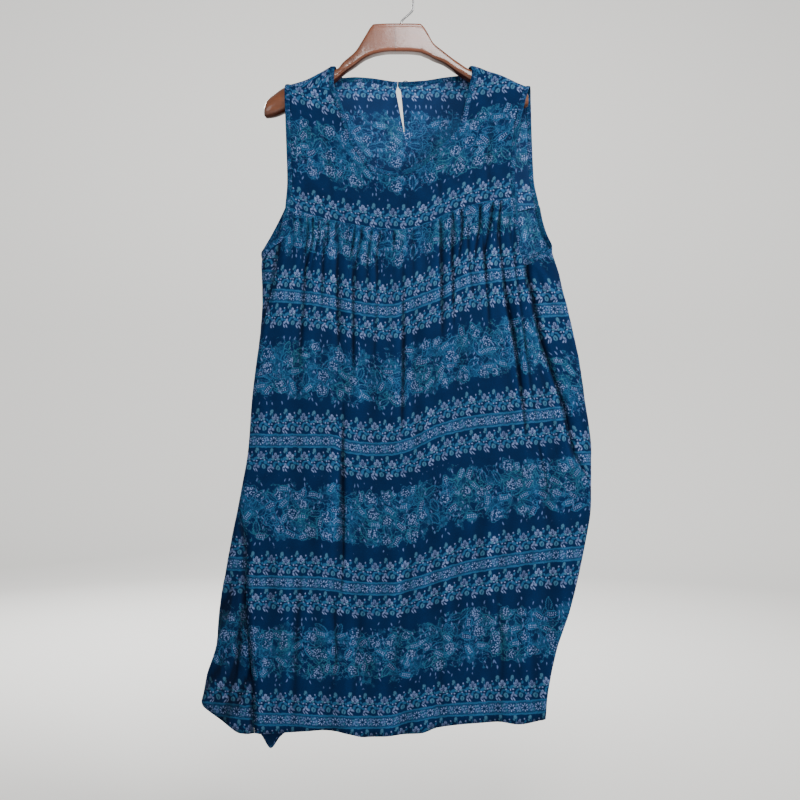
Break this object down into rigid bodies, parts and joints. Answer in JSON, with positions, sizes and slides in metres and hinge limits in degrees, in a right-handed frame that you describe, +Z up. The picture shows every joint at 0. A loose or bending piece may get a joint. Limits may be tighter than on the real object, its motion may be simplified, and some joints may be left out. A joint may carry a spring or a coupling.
{
  "type": "sleeveless dress on a wooden hanger",
  "caption": "Loose sleeveless knee-length dress with a yoke, a gathered skirt and bound edges, hanging flat on a contoured wooden hanger with a wire hook.",
  "frame": {"origin": "highest point inside the hook, where the rail carries it", "axes": "+Z up, -Y out of the dress's front, +X towards the viewer's right when the front is seen"},
  "size_m": [0.6148, 0.0433, 1.2056],
  "materials": {
    "cloth": "matte",
    "binding": "matte",
    "button": "gloss",
    "wood": "gloss",
    "chrome": "polished"
  },
  "bodies": {
    "root": {"front_yoke": "cloth", "back_yoke": "cloth", "front_skirt": "cloth", "back_skirt": "cloth", "neck_binding": "binding", "armhole_binding_left": "binding", "armhole_binding_right": "binding", "neck_button": "button", "button_loop": "binding", "hanger": "wood", "hook": "chrome"}
  },
  "joints": []
}
